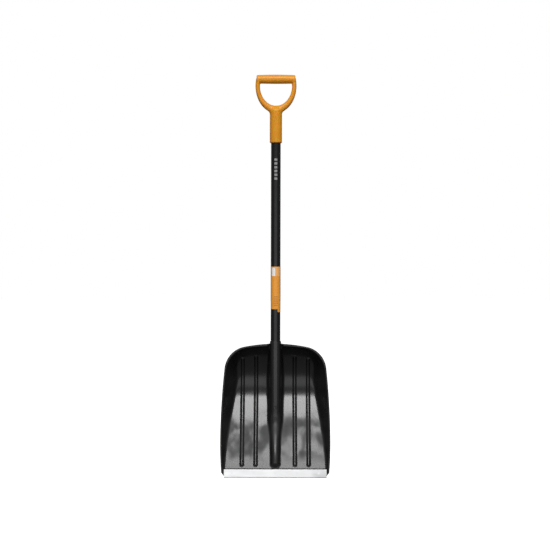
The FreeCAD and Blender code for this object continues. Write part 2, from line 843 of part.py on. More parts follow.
def grip_bar():
    """The crossbar, thickest in the middle, as a slice of an ellipsoid."""
    half = size("bar_length") / 2
    share = (number("bar_end_radius") / number("bar_radius")) ** 2
    stretch = doc.addObject("Part::Ellipsoid", "bar_barrel")
    bind(stretch, Radius1=half / math.sqrt(1 - share), Radius2=size("bar_radius"), Radius3=size("bar_radius"))
    height = size("overall_height") - size("bar_radius")
    place(stretch, 0, size("shaft_y"), height, Rotation(Vector(0, 1, 0), 90))
    slice_box = box("bar_slice", half * 2, 60, 60, -half, size("shaft_y") - 30, height - 30)
    bar = common("bar_cut", stretch, slice_box)
    end = number("bar_length") / 2

    def end_edge(edge):
        return abs(abs(edge.BoundBox.Center.x) - end) < 0.01

    return rounded("bar", bar, number("bar_rounding"), end_edge)


def d_grip():
    axis, foot = size("shaft_y"), size("neck_foot")
    neck_top = size("ring_height") - size("ring_outer_drop") + 12
    neck = cylinder("neck", size("neck_radius"), neck_top - foot, 0, axis, foot)

    def at_foot(edge):
        return abs(edge.BoundBox.ZMax - number("neck_foot")) < 0.01

    def at_top(edge):
        return abs(edge.BoundBox.ZMin - float(neck_top)) < 0.01

    neck = rounded("neck_round_foot", neck, number("neck_rounding"), at_foot)
    neck = rounded("neck_round_top", neck, number("neck_shoulder"), at_top)
    body = fuse("grip_body", grip_ring(), grip_bar(), neck)
    gap = size("fit_gap")
    bore_height = size("shaft_head") + size("plug_flange") - foot
    bore = cylinder("grip_bore", size("shaft_radius") + gap, bore_height, 0, axis, foot)
    drills = [bore] + screw_drills("grip", size("grip_screw_height"), size("neck_radius"), BEHIND)
    return piece(cut("grip", body, fuse("grip_drills", *drills)), "d_grip")


# ---- everything together ----


def check(item):
    """Stops if an object failed to compute or a piece has no valid solid."""
    if {"Invalid", "Error"} & set(item.State):
        raise RuntimeError(f"{item.Name} failed: {item.State}")
    if item in pieces:
        if item.Shape.isNull() or not item.Shape.isValid() or not item.Shape.Solids:
            raise RuntimeError(f"{item.Label} has no valid solid")


def main():
    piece(drilled_blade(), "blade")
    edge_strip()
    for index, place_along in enumerate(rivet_places(), start=1):
        rivet(index, place_along)
    shaft_tube()
    foot, head = size("shaft_foot"), size("shaft_head")
    shaft_plug("lower_shaft_plug", foot, 1, size("socket_screw_height"), FRONT)
    shaft_plug("upper_shaft_plug", head, -1, size("grip_screw_height"), BEHIND)
    screw("socket_screw", size("socket_screw_height"), size("socket_radius"), FRONT)
    screw("grip_screw", size("grip_screw_height"), size("neck_radius"), BEHIND)
    shaft_label()
    d_grip()
    doc.recompute()
    for item in doc.Objects:
        check(item)
    os.makedirs("parts", exist_ok=True)
    for item in pieces:
        item.Shape.exportStep(f"parts/{item.Label}.step")


main()
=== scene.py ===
import math

import bpy
import numpy as np
from mathutils import Euler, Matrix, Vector


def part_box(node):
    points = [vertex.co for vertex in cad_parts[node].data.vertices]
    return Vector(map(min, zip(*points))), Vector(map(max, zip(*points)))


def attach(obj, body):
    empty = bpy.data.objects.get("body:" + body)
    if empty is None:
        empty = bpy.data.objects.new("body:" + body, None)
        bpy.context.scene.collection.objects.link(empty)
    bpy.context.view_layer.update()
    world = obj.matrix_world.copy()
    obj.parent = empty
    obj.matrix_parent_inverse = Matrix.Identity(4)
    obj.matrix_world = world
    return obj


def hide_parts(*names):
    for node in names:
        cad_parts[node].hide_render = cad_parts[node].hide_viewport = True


# A scoop snow shovel standing on its edge. Shapes are worked out in millimetres in the frame's own axes
# (x across, y from front to back, z up) and turned into metres when a mesh is made.

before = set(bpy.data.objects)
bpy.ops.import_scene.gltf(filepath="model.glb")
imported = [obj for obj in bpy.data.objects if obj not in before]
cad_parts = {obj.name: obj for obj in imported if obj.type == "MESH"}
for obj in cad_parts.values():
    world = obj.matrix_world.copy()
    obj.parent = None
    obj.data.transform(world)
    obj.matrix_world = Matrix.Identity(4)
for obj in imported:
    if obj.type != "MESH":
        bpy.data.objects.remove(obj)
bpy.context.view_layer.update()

MM = 0.001
SHAFT_Y = 17.0

# ---- small tools ----


def smooth_min(a, b, k):
    """The smaller of two distances, rounded where they are closer than k."""
    h = np.maximum(k - np.abs(a - b), 0) / k
    return np.minimum(a, b) - h * h * k / 4


def smooth_max(a, b, k):
    """The greater of two distances, rounded where they are closer than k."""
    return -smooth_min(-a, -b, k)


def round_max(a, b, radius):
    """The inside of both shapes, with their common edge rounded to a radius."""
    return np.minimum(np.maximum(a, b), -radius) + np.hypot(
        np.maximum(a + radius, 0), np.maximum(b + radius, 0)
    )


def stops(*stretches):
    """Positions along an axis: each stretch is (start, end, step), the last end included."""
    made = []
    for start, end, step in stretches:
        count = max(1, round((end - start) / step))
        made.extend(start + (end - start) * i / count for i in range(count))
    return np.array(made + [stretches[-1][1]])


def make_mesh(name, points, faces, sharp_angle=None):
    """A smooth-shaded object from points in millimetres."""
    mesh = bpy.data.meshes.new(name)
    mesh.from_pydata((np.asarray(points) * MM).tolist(), [], faces)
    mesh.validate()
    mesh.update()
    mesh.shade_smooth()
    if sharp_angle:
        mesh.set_sharp_from_angle(angle=math.radians(sharp_angle))
    obj = bpy.data.objects.new(name, mesh)
    bpy.context.scene.collection.objects.link(obj)
    return obj


# ---- the blade's shape ----

FOOT_Y, FOOT_RISE = -74.0, 1.63
LEAN, CROWN_LEAN = math.radians(27), math.radians(40)
BEND_START, BEND_RADIUS = 248.0, 134.0
FLARE, RIM_SLOPE = 0.395, 0.1763
WALL = 3.0
LIP_THICKNESS = 3.2
WIDEST_Z, CORNER_Z = 113.0, 340.0
HALF_WIDTH, RIM_TOP = 178.4, 428.5
LOWER_SIDE_RADIUS, UPPER_SIDE_RADIUS = 1113.0, 2250.0
RIM_CORNER_RADIUS, MOUTH_CORNER_RADIUS = 80.0, 105.0
LIP_SIDE, LIP_TOP = 5.0, 7.5
HORN_X, HORN_Z, HORN_SLOPE = 165.7, 6.0, 1.3
RIB_X, RIB_TOPS = (63.5, 108.0), (388.0, 381.5)
RIB_HALF, RIB_RISE, RIB_FOOT, RIB_RADIUS = 6.75, 4.7, 34.0, 5.4
RIB_HOLLOW_RADIUS = RIB_RADIUS - WALL + 1.2
SOCKET_RADIUS, COLLAR_TOP, CUP_FOOT = 18.4, 435.8, 418.0
BORE_RADIUS, BORE_FOOT = 15.95, 202.5
WEB_FRONT, WEB_HALF, WEB_DRAFT, WEB_ROUND = 6.0, 17.6, 0.19, 0.6
CHANNEL_FOOT, CHANNEL_TOP = 226.0, 378.0
# The ridge's bead: its height over the floor, the rounding of its crest, and how it widens and sinks.
BEAD_RISE, BEAD_ROUND, BEAD_FOOT = 17.0, 9.0, 48.0
BEAD_HALF, BEAD_WIDENS, BEAD_WIDENS_FROM, BEAD_WIDENS_OVER = 12.1, 4.5, 69, 145
BEAD_SINK, BEAD_SINK_FROM, BEAD_SINK_OVER = 6.5, 84, 45
BEAD_HOLLOW_TOP = 200
# The strip lies in a groove over a thinned tongue, with a thicker band above it behind.
STRIP_TOP, GROOVE_TOP = 27.5, 30.6
GROOVE_DEPTH, STRIP_SEAT_DEPTH = 2.25, 1.45
BAND_TOP, BAND_BACK = 46, 4.4
TONGUE_TOP, TONGUE_BACK = 24.4, 4.35
# How far the lip steps back beside the socket.
DIP, DIP_HALF, DIP_FADE, DIP_FROM, DIP_OVER = 20, 27, 8, 340, 40
# The fold between floor and wall: its softness, what it gains round the bend, and where that comes and goes.
FOLD_SOFT, FOLD_GAIN, FOLD_FROM, FOLD_UNTIL, FOLD_OVER = 7.0, 15, 268, 415, 60
# How softly the parts of the front, and then of the back, run into one another.
LIP_BLEND, RIB_BLEND, BEAD_BLEND, WEB_BLEND, RIDGE_BLEND = 1.6, 3.0, 16, 1.2, 8.0
BACK_FOLD_EXTRA, BACK_LIP_BLEND, BAND_BLEND, RIB_HOLLOW_BLEND = 4, 3.0, 0.8, 1.0
CHANNEL_BLEND, SOCKET_BLEND = 1.5, 2.5
FAR = 1e6

BEND_Y = (BEND_START - FOOT_RISE) * math.tan(LEAN) - BEND_RADIUS * math.cos(LEAN)
BEND_Z = BEND_START + BEND_RADIUS * math.sin(LEAN)


def floor_depth(z, back=0.0):
    """How far the floor lies behind the foot at a height, and its slope there (depth per height)."""
    radius = BEND_RADIUS + back
    rise = z - BEND_Z
    low = BEND_Y + (radius + rise * math.sin(LEAN)) / math.cos(LEAN)
    high = BEND_Y + (radius - rise * math.sin(CROWN_LEAN)) / math.cos(CROWN_LEAN)
    inside = np.clip(rise, -radius * math.sin(LEAN), radius * math.sin(CROWN_LEAN))
    round_part = np.sqrt(radius**2 - inside**2)
    depth = np.where(rise < inside, low, np.where(rise > inside, high, BEND_Y + round_part))
    return depth, -inside / round_part


def outline_arcs(half_width, opening, corner_radius, apex):
    """The right half of an outline as tangent arcs: (centre x, centre z, radius, first, last angle)."""
    joint = -math.atan(opening)
    centres = []
    for radius in (LOWER_SIDE_RADIUS, UPPER_SIDE_RADIUS):
        centres.append((half_width - radius * math.cos(joint), WIDEST_Z - radius * math.sin(joint), radius))
    side_x, side_z, side_radius = centres[1]
    leave = math.asin((CORNER_Z - side_z) / (side_radius - corner_radius))
    corner_x = side_x + (side_radius - corner_radius) * math.cos(leave)
    drop = CORNER_Z - apex
    top_radius = (corner_radius**2 - corner_x**2 - drop**2) / (2 * (drop + corner_radius))
    top_z = apex - top_radius
    meet = math.atan2(CORNER_Z - top_z, corner_x)
    return [
        (*centres[0], -0.6, joint),
        (*centres[1], joint, leave),
        (corner_x, CORNER_Z, corner_radius, leave, meet),
        (0.0, top_z, top_radius, meet, math.pi / 2 + 0.01),
    ]


RIM_ARCS = outline_arcs(HALF_WIDTH, 0.0, RIM_CORNER_RADIUS, RIM_TOP)
MOUTH_OPENING = FLARE * RIM_SLOPE
MOUTH_ARCS = outline_arcs(
    HALF_WIDTH - LIP_SIDE + MOUTH_OPENING * WIDEST_Z,
    MOUTH_OPENING,
    MOUTH_CORNER_RADIUS,
    (RIM_TOP - LIP_TOP) * (1 + MOUTH_OPENING),
)


def inset(arcs, x, z):
    """How far a point of the front view lies inside an outline."""
    found = np.full(np.broadcast(x, z).shape, FAR)
    for centre_x, centre_z, radius, first, last in arcs:
        across, up = np.abs(x) - centre_x, z - centre_z
        angle = np.arctan2(up, across)
        here = (angle >= first) & (angle <= last)
        value = radius - np.hypot(across, up)
        found = np.where(here, np.minimum(found, value), found)
    return found


def behind_floor(depth, z):
    """Distance behind the lower floor's plane, and up its slope."""
    rise = z - FOOT_RISE
    behind = depth * math.cos(LEAN) - rise * math.sin(LEAN)
    return behind, rise * math.cos(LEAN) + depth * math.sin(LEAN)


def cylinder_distance(x, depth, open_back):
    """Distance to the shaft's socket, with its shadow to the back or to the front filled in."""
    away = depth - (SHAFT_Y - FOOT_Y)
    away = np.minimum(away, 0) if open_back else np.maximum(away, 0)
    return np.hypot(x, away) - SOCKET_RADIUS


def web_distance(x, depth, shrink):
    """The block that joins the socket to the floor, a little wider towards the floor."""
    front = SHAFT_Y - FOOT_Y + WEB_FRONT + shrink
    half = WEB_HALF + shrink * (WEB_DRAFT - 1) + (depth - front) * WEB_DRAFT
    return round_max(np.abs(x) - half, front - depth, WEB_ROUND)


def bead_distance(x, depth, z, shrink):
    """The long bead between the socket's foot and the edge, which sinks and narrows to a round nose."""
    behind, up = behind_floor(depth, z)
    half = BEAD_HALF + BEAD_WIDENS * np.clip((up - BEAD_WIDENS_FROM) / BEAD_WIDENS_OVER, 0, 1) - shrink
    sink = BEAD_SINK * np.clip((BEAD_SINK_FROM - up) / BEAD_SINK_OVER, 0, 1) ** 2
    flat = np.hypot(x, np.minimum(up - BEAD_FOOT, 0))
    centre = BEAD_ROUND - BEAD_RISE + sink
    crest = np.minimum(behind - centre, 0) / (BEAD_ROUND - shrink)
    return (np.hypot(flat / half, crest) - 1) * half


def rib_distance(x, depth, z, radius):
    """The nearest of the four ribs, as round bars that follow the floor."""
    floor, slope = floor_depth(z)
    lean = 1 / np.hypot(1, slope)
    behind = np.minimum((depth - floor) * lean - (RIB_RADIUS - RIB_RISE), 0)
    nearest = np.full(x.shape, FAR)
    for rib_x, top in zip(RIB_X, RIB_TOPS):
        low, high = RIB_FOOT + RIB_HALF, top - RIB_HALF
        beyond = (np.maximum(low - z, 0) + np.maximum(z - high, 0)) / lean
        across = np.abs(x) - rib_x
        nearest = np.minimum(nearest, np.sqrt(across**2 + beyond**2 + behind**2) - radius)
    return nearest


def fold_softness(z):
    """The fold between floor and wall is tight near the edge, wide round the bend and tight at the top."""
    comes, goes = np.clip((z - FOLD_FROM) / FOLD_OVER, 0, 1), np.clip((FOLD_UNTIL - z) / FOLD_OVER, 0, 1)
    return FOLD_SOFT + FOLD_GAIN * comes * goes


def collar_dip(x, z):
    """How far the lip steps back beside the socket, so that the socket stands in front of it."""
    near = np.clip((DIP_HALF - np.abs(x)) / DIP_FADE, 0, 1)
    return DIP * near * near * (3 - 2 * near) * np.clip((z - DIP_FROM) / DIP_OVER, 0, 1)


def front_distance(x, depth, z):
    """Positive in the open space in front of the blade, and falling through its front surface."""
    floor, slope = floor_depth(z)
    surface = (floor - depth) / np.hypot(1, slope)
    wall = (inset(MOUTH_ARCS, x, z) - FLARE * depth) / math.hypot(1, FLARE)
    shell = smooth_min(surface, wall, fold_softness(z))
    rim = (RIM_SLOPE * z + collar_dip(x, z) - depth) / math.hypot(1, RIM_SLOPE)
    shell = smooth_max(shell, rim, LIP_BLEND)
    shell = smooth_min(shell, rib_distance(x, depth, z, RIB_RADIUS), RIB_BLEND)
    ridge = smooth_min(cylinder_distance(x, depth, True), bead_distance(x, depth, z, 0), BEAD_BLEND)
    ridge = smooth_min(ridge, web_distance(x, depth, 0), WEB_BLEND)
    shell = smooth_min(shell, ridge, RIDGE_BLEND)
    behind, up = behind_floor(depth, z)
    sunk = np.where(up > STRIP_TOP, GROOVE_DEPTH, STRIP_SEAT_DEPTH)
    recess = np.maximum(np.maximum(np.abs(x) - HORN_X, up - GROOVE_TOP), behind - sunk)
    return np.maximum(shell, -recess)


def back_distance(x, depth, z):
    """Positive behind the blade, and falling through its back surface when coming forward."""
    floor, slope = floor_depth(z, WALL)
    surface = (depth - floor) / np.hypot(1, slope)
    wall = -(inset(MOUTH_ARCS, x, z) - FLARE * depth) / math.hypot(1, FLARE) - WALL
    shell = smooth_max(surface, wall, fold_softness(z) + BACK_FOLD_EXTRA)
    rim = (depth - RIM_SLOPE * z - collar_dip(x, z)) / math.hypot(1, RIM_SLOPE) - LIP_THICKNESS
    shell = smooth_min(shell, rim, BACK_LIP_BLEND)
    behind, up = behind_floor(depth, z)
    band = np.maximum(np.maximum(np.abs(x) - HORN_X, up - BAND_TOP), behind - BAND_BACK)
    shell = smooth_min(shell, band, BAND_BLEND)
    shell = smooth_max(shell, -rib_distance(x, depth, z, RIB_HOLLOW_RADIUS), RIB_HOLLOW_BLEND)
    hollow = np.maximum(bead_distance(x, np.minimum(depth, floor), z, WALL), up - BEAD_HOLLOW_TOP)
    shell = np.maximum(shell, -hollow)
    off_middle = np.abs(z - (CHANNEL_FOOT + CHANNEL_TOP) / 2)
    channel = np.maximum(web_distance(x, depth, WALL), off_middle - (CHANNEL_TOP - CHANNEL_FOOT) / 2)
    shell = smooth_max(shell, -channel, CHANNEL_BLEND)
    socket = np.maximum(cylinder_distance(x, depth, False), BORE_FOOT - WALL - z)
    shell = smooth_min(shell, socket, SOCKET_BLEND)
    tongue = np.maximum(np.maximum(np.abs(x) - HORN_X, up - TONGUE_TOP), TONGUE_BACK - behind)
    return np.maximum(shell, -tongue)


# The depths between which the blade's surfaces are looked for, how often that stretch is halved, and the
# least thickness between the two surfaces.
NEAREST, FARTHEST, HALVINGS = -40.0, 170.0, 34
THINNEST = 0.6


def solve_depth(distance, x, z, start, end):
    """The depth at which a distance changes sign, from a start where it is positive, by halving the step."""
    near, far = np.full(x.shape, start), np.full(x.shape, end)
    for _ in range(HALVINGS):
        middle = (near + far) / 2
        positive = distance(x, middle, z) > 0
        near = np.where(positive, middle, near)
        far = np.where(positive, far, middle)
    return (near + far) / 2


# How far the edge bulges out between front and back, and how near the outline a grid point counts as inside.
RIM_EDGE, FOOT_EDGE = 1.6, 0.25
ON_OUTLINE = 0.06
EDGE_HALVINGS, EDGE_STEP, EDGE_TURNS = 24, 0.05, 7


def outline_room(x, z):
    """How far a point of the front view lies inside the blade's outline, less the edge's rounding."""
    rim = inset(RIM_ARCS, x, z) - RIM_EDGE
    beside = np.abs(x) - HORN_X
    horn = (z - HORN_Z - HORN_SLOPE * beside) / math.hypot(1, HORN_SLOPE)
    foot = np.where(beside > 0, horn, z - HORN_Z)
    return rim, foot - FOOT_EDGE


def room(x, z):
    """The lesser of the two distances that outline_room gives."""
    return np.minimum(*outline_room(x, z))


def blade_mesh():
    """Front and back as height fields on one grid cut off at the outline, closed by a rounded edge."""
    half = stops(
        (0, 12, 3), (12, 32, 1.0), (32, 54, 3.2), (54, 73, 1.05), (73, 98.5, 3.2),
        (98.5, 117.5, 1.05), (117.5, 158, 2.6), (158, 165.3, 1.2), (165.3, 166.1, 0.4), (166.1, 180, 1.2),
    )
    xs = np.concatenate([-half[:0:-1], half])
    zs = stops(
        (4, 24, 2.0), (24, 33, 0.9), (33, 48, 1.3), (48, 60, 2.4), (60, 160, 4.2), (160, 250, 3.4),
        (250, 366, 2.2), (366, 392, 1.3), (392, 408, 2.0), (408, 430, 1.1),
    )
    grid_x, grid_z = np.meshgrid(xs, zs)
    value = room(grid_x, grid_z)
    value = np.where(np.abs(value) < ON_OUTLINE, ON_OUTLINE, value)
    inside = value > 0
    number = np.full(grid_x.shape, -1)
    number[inside] = np.arange(inside.sum())
    flat_x, flat_z = list(grid_x[inside]), list(grid_z[inside])
    crossings = {}

    def crossing(a, b):
        """The vertex where the outline cuts the grid line between two neighbours."""
        key = (a, b) if a < b else (b, a)
        if key not in crossings:
            inner, outer = (a, b) if inside[a] else (b, a)
            start = np.array([grid_x[inner], grid_z[inner]])
            end = np.array([grid_x[outer], grid_z[outer]])
            for _ in range(EDGE_HALVINGS):
                middle = (start + end) / 2
                if room(middle[0], middle[1]) > 0:
                    start = middle
                else:
                    end = middle
            crossings[key] = len(flat_x)
            flat_x.append(start[0])
            flat_z.append(start[1])
        return crossings[key]

    rows, columns = grid_x.shape
    faces, follow = [], {}
    for j in range(rows - 1):
        for i in range(columns - 1):
            corners = [(j, i), (j, i + 1), (j + 1, i + 1), (j + 1, i)]
            known = [inside[c] for c in corners]
            if not any(known):
                continue
            polygon, leaving, entering = [], None, None
            for k in range(4):
                here, there = corners[k], corners[(k + 1) % 4]
                if known[k]:
                    polygon.append(int(number[here]))
                if known[k] != known[(k + 1) % 4]:
                    cut_point = crossing(here, there)
                    polygon.append(cut_point)
                    if known[k]:
                        leaving = cut_point
                    else:
                        entering = cut_point
            faces.append(polygon)
            if leaving is not None:
                follow[leaving] = entering
    x, z = np.array(flat_x), np.array(flat_z)
    front = solve_depth(front_distance, x, z, NEAREST, FARTHEST)
    back = solve_depth(back_distance, x, z, FARTHEST, NEAREST)
    back = np.maximum(back, front + THINNEST)

    loop = [next(iter(follow))]
    while follow[loop[-1]] != loop[0]:
        loop.append(follow[loop[-1]])
    loop = np.array(loop)
    edge_x, edge_z = x[loop], z[loop]
    away_x = room(edge_x - EDGE_STEP, edge_z) - room(edge_x + EDGE_STEP, edge_z)
    away_z = room(edge_x, edge_z - EDGE_STEP) - room(edge_x, edge_z + EDGE_STEP)
    length = np.hypot(away_x, away_z)
    rim_room, foot_room = outline_room(edge_x, edge_z)
    bulge = np.where(rim_room < foot_room, RIM_EDGE, FOOT_EDGE)

    count = len(x)
    layers = [np.stack([x, front, z], 1), np.stack([x, back, z], 1)]
    all_faces = [list(f) for f in faces] + [[v + count for v in reversed(f)] for f in faces]
    previous = loop
    start = 2 * count
    for turn in range(1, EDGE_TURNS + 1):
        if turn == EDGE_TURNS:
            current = loop + count
        else:
            angle = math.pi * turn / EDGE_TURNS
            share = (1 - math.cos(angle)) / 2
            reach = bulge * math.sin(angle) / length
            depth = front[loop] + (back[loop] - front[loop]) * share
            layers.append(np.stack([edge_x + away_x * reach, depth, edge_z + away_z * reach], 1))
            current = np.arange(start, start + len(loop))
            start += len(loop)
        after, after_previous = np.roll(current, -1), np.roll(previous, -1)
        quads = np.stack([previous, current, after, after_previous], 1)
        all_faces.extend(quads.tolist())
        previous = current
    points = np.concatenate(layers)
    points[:, 1] += FOOT_Y
    return points, all_faces


ROUND_SEGMENTS = 96


def turned_profile(profile, segments, closed):
    """Points and faces of a profile of (radius, height) turned about a vertical axis."""
    points, faces = [], []
    for radius, height in profile:
        for k in range(segments):
            angle = 2 * math.pi * k / segments
            points.append((radius * math.cos(angle), radius * math.sin(angle), height))
    rings = len(profile)
    for ring in range(rings if closed else rings - 1):
        low, high = ring * segments, (ring + 1) % rings * segments
        for k in range(segments):
            after = (k + 1) % segments
            faces.append([low + k, low + after, high + after, high + k])
    if not closed:
        faces.append(list(reversed(range(segments))))
        faces.append(list(range((rings - 1) * segments, rings * segments)))
    return np.array(points), faces


def rounded_profile(corners, rounding, steps=4):
    """A closed profile with each of its corners rounded off."""
    made = []
    count = len(corners)
    for k in range(count):
        before, here, after = (np.array(corners[(k + d) % count], float) for d in (-1, 0, 1))
        back_length, on_length = np.linalg.norm(before - here), np.linalg.norm(after - here)
        radius = min(rounding, back_length * 0.45, on_length * 0.45)
        start = here + (before - here) / back_length * radius
        end = here + (after - here) / on_length * radius
        for s in range(steps + 1):
            t = s / steps
            made.append(tuple((1 - t) ** 2 * start + 2 * t * (1 - t) * here + t**2 * end))
    return made


def shaft_point(points):
    """Points round the vertical axis, moved to the shaft's own axis."""
    return np.asarray(points) + np.array([0, SHAFT_Y, 0])


def join(*shapes):
    """Several (points, faces) as one."""
    points, faces, start = [], [], 0
    for shape_points, shape_faces in shapes:
        points.append(shape_points)
        faces.extend([[v + start for v in f] for f in shape_faces])
        start += len(shape_points)
    return np.concatenate(points), faces


def socket_cup():
    """The wall of the socket's collar round the shaft, open at the top. Below it the socket isn't bored."""
    profile = [
        (SOCKET_RADIUS - 0.4, CUP_FOOT), (SOCKET_RADIUS, CUP_FOOT + 8), (SOCKET_RADIUS, COLLAR_TOP),
        (BORE_RADIUS, COLLAR_TOP), (BORE_RADIUS, CUP_FOOT),
    ]
    points, faces = turned_profile(rounded_profile(profile, 0.7), ROUND_SEGMENTS, True)
    return shaft_point(points), faces


# ---- the D-grip ----

BAR_Z, BAR_HALF, BAR_RADIUS, BAR_END = 1295.05, 63.5, 14.95, 13.65
NECK_FOOT, NECK_TOP, NECK_RADIUS = 1085.7, 1198.0, 20.0
NECK_LINE_DEPTH, NECK_LINE_RISE, NECK_LINE_HALF = 0.35, 10, 0.8
RING_Z, RING_TOP, RING_HALF_DEPTH, RING_POWER = 1273.0, 1299.0, 12.0, 2.3
RING_INNER, RING_OUTER = (52.5, 64.6), (67.2, 88.5)
BORE_TOP = 1186.5
BAR_ROUND, RING_ROUND, NECK_FOOT_ROUND, NECK_TOP_ROUND = 3.0, 5.0, 3.0, 8.0
ARM_BLEND, NECK_BLEND = 4.0, 9.0
GRIP_SCREW_Z, SEAT_RADIUS, SEAT_Y = 1166.0, 5.4, 19.2
GRIP_LOW, GRIP_HIGH, GRIP_CELL = (-70, -22, 1083), (70, 22, 1313), 1.25
TINY = 1e-6


def ring_distance(x, y, z):
    """The two arms and the bend between them, a rounded band between two half ellipses."""
    up = z - RING_Z

    def off_ellipse(half_width, drop):
        level = np.hypot(x / half_width, up / drop)
        steep = np.hypot(x / half_width**2, up / drop**2) / np.maximum(level, TINY)
        return (level - 1) / np.maximum(steep, TINY)

    outside_inner = off_ellipse(*RING_INNER)
    inside_outer = -off_ellipse(*RING_OUTER)
    half = np.maximum((outside_inner + inside_outer) / 2, 3.0)
    centre = (outside_inner - inside_outer) / 2
    across, deep = np.abs(centre) / half, np.abs(y) / RING_HALF_DEPTH
    level = (across**RING_POWER + deep**RING_POWER) ** (1 / RING_POWER)
    return (level - 1) * np.minimum(half, RING_HALF_DEPTH)


def grip_distance(x, y, z):
    """The bar, the ring and the neck, less the tube's bore and the seat of the screw's head."""
    share = (BAR_END / BAR_RADIUS) ** 2
    barrel = BAR_RADIUS * np.sqrt(np.maximum(1 - (x / BAR_HALF) ** 2 * (1 - share), 0.1))
    bar = round_max(np.hypot(y, z - BAR_Z) - barrel, np.abs(x) - BAR_HALF, BAR_ROUND)
    ring = round_max(ring_distance(x, y, z), z - RING_TOP, RING_ROUND)
    body = smooth_min(bar, ring, ARM_BLEND)
    line = np.exp(-(((z - NECK_FOOT - NECK_LINE_RISE) / NECK_LINE_HALF) ** 2))
    round_neck = np.hypot(x, y) - NECK_RADIUS + NECK_LINE_DEPTH * line
    neck = round_max(round_neck, NECK_FOOT - z, NECK_FOOT_ROUND)
    neck = round_max(neck, z - NECK_TOP, NECK_TOP_ROUND)
    body = smooth_min(body, neck, NECK_BLEND)
    bore = np.maximum(np.hypot(x, y) - BORE_RADIUS, z - BORE_TOP)
    seat = np.maximum(np.hypot(x, z - GRIP_SCREW_Z) - SEAT_RADIUS, SEAT_Y - y)
    return np.maximum(np.maximum(body, -bore), -seat)


def surface_net(distance, low, high, step):
    """A quad mesh of the surface where a distance is zero, its vertices moved onto the surface."""
    axes = [np.arange(a, b + step, step) for a, b in zip(low, high)]
    grid = np.meshgrid(*axes, indexing="ij")
    value = distance(*grid)
    inside = value < 0
    cells = tuple(n - 1 for n in value.shape)
    total = np.zeros(cells + (3,))
    hits = np.zeros(cells)
    origin = np.array([a[0] for a in axes])
    corner_offsets = [(i, j, k) for i in (0, 1) for j in (0, 1) for k in (0, 1)]

    def window(array, offset):
        return array[tuple(slice(o, o + n) for o, n in zip(offset, cells))]

    for start in corner_offsets:
        for axis in range(3):
            if start[axis]:
                continue
            end = tuple(o + (a == axis) for a, o in enumerate(start))
            first, second = window(value, start), window(value, end)
            crosses = (first < 0) != (second < 0)
            share = np.where(crosses, first / np.where(crosses, first - second, 1), 0)
            for a in range(3):
                total[..., a] += np.where(crosses, start[a] + (share if a == axis else 0), 0)
            hits += crosses
    active = hits > 0
    index = np.full(cells, -1)
    index[active] = np.arange(active.sum())
    place = np.argwhere(active) + total[active] / hits[active][:, None]
    points = origin + place * step
    faces = []
    for axis in range(3):
        u, v = (axis + 1) % 3, (axis + 2) % 3
        lower = [slice(None)] * 3
        upper = [slice(None)] * 3
        lower[axis], upper[axis] = slice(0, -1), slice(1, None)
        crosses = inside[tuple(lower)] != inside[tuple(upper)]
        where = np.argwhere(crosses)
        where = where[(where[:, u] > 0) & (where[:, v] > 0)]
        where = where[(where[:, u] < cells[u]) & (where[:, v] < cells[v])]
        ring = []
        for du, dv in ((1, 1), (0, 1), (0, 0), (1, 0)):
            cell = where.copy()
            cell[:, u] -= du
            cell[:, v] -= dv
            ring.append(index[tuple(cell.T)])
        quads = np.stack(ring, 1)
        flip = ~inside[tuple(where.T)]
        quads[flip] = quads[flip][:, ::-1]
        faces.extend(quads.tolist())
    nudge = 0.02
    for _ in range(4):
        here = distance(*points.T)
        rises = [
            distance(*(points + nudge * unit).T) - distance(*(points - nudge * unit).T)
            for unit in np.eye(3)
        ]
        slope = np.stack(rises, 1) / (2 * nudge)
        size = np.maximum((slope**2).sum(1), 0.2)
        points = points - np.clip(here / size, -step / 2, step / 2)[:, None] * slope
    return points, faces


def grip_mesh():
    """The D-grip as one mesh, on the shaft's axis."""
    points, faces = surface_net(grip_distance, GRIP_LOW, GRIP_HIGH, GRIP_CELL)
    return shaft_point(points), faces


# ---- shaft and screws ----

TUBE_OUTER, TUBE_INNER, TUBE_RINGS = 15.9, 14.4, 40
SOCKET_SCREW_Z, SCREW_SINK = 220.0, 0.8
# Half of the screw's outline as (radius, height over the seat), and the cross recess in its head.
SCREW_PROFILE = [
    (0.35, 2.6), (2.6, 2.5), (4.3, 1.95), (4.9, 1.1), (5.0, 0.3), (4.8, 0.0), (2.1, 0.0), (2.1, -10.0),
    (0.7, -12.0),
]
RECESS_RADIUS, RECESS_ARM, RECESS_MIDDLE = 3, 1.3, 1.5


def shaft_mesh():
    """The tube, as long as the CAD's, in short rings."""
    box_low, box_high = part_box("shaft_tube")
    low, high = box_low[2] / MM, box_high[2] / MM
    heights = [low + (high - low) * k / TUBE_RINGS for k in range(1, TUBE_RINGS)]
    profile = [(TUBE_INNER, low), (TUBE_OUTER, low)]
    profile += [(TUBE_OUTER, h) for h in heights]
    profile += [(TUBE_OUTER, high), (TUBE_INNER, high)]
    points, faces = turned_profile(profile, ROUND_SEGMENTS, True)
    return shaft_point(points), faces


def screw_mesh(front_y, height, side):
    """A pan-head screw with a cross recess sunk in its head. Side is -1 where the head faces forward."""
    points, faces = turned_profile(SCREW_PROFILE, ROUND_SEGMENTS // 2, False)
    angle = np.arctan2(points[:, 1], points[:, 0])
    radius = np.hypot(points[:, 0], points[:, 1])
    arm = np.abs(np.cos(2 * angle)) ** 3
    recess = RECESS_ARM * arm * (radius > 1) + RECESS_MIDDLE * (radius <= 1)
    points[:, 2] -= np.where((points[:, 2] > 2.2) & (radius < RECESS_RADIUS), recess, 0)
    turned = np.stack([points[:, 0], side * points[:, 2], points[:, 1]], 1)
    if side > 0:
        faces = [list(reversed(f)) for f in faces]
    turned += np.array([0, front_y, height])
    return turned, [list(reversed(f)) for f in faces]


# ---- materials ----


